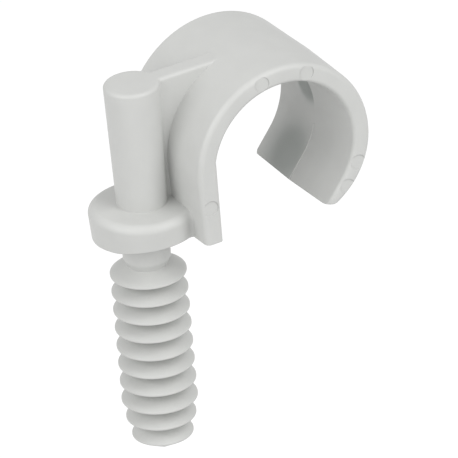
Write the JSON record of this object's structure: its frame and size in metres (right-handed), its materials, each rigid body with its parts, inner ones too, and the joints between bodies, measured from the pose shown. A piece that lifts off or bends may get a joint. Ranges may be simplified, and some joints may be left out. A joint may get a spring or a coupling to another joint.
{
  "type": "pipe clip",
  "caption": "Light grey moulded plastic pipe clip: an open round hook for a pipe, a striking post and flange beside it, and a finned plug that is driven into a drilled hole in the wall.",
  "frame": {"origin": "centre of the flange's underside, on the plug's axis, where the clip meets the wall", "axes": "-Z down the plug into the wall, +X from the plug towards the pipe, Y along the pipe; the mould's parting plane is y = 0"},
  "size_m": [0.0327, 0.0168, 0.0491],
  "materials": {
    "clip": "satin light grey, as moulded"
  },
  "bodies": {
    "root": {"pipe_clip": "clip"}
  },
  "joints": []
}
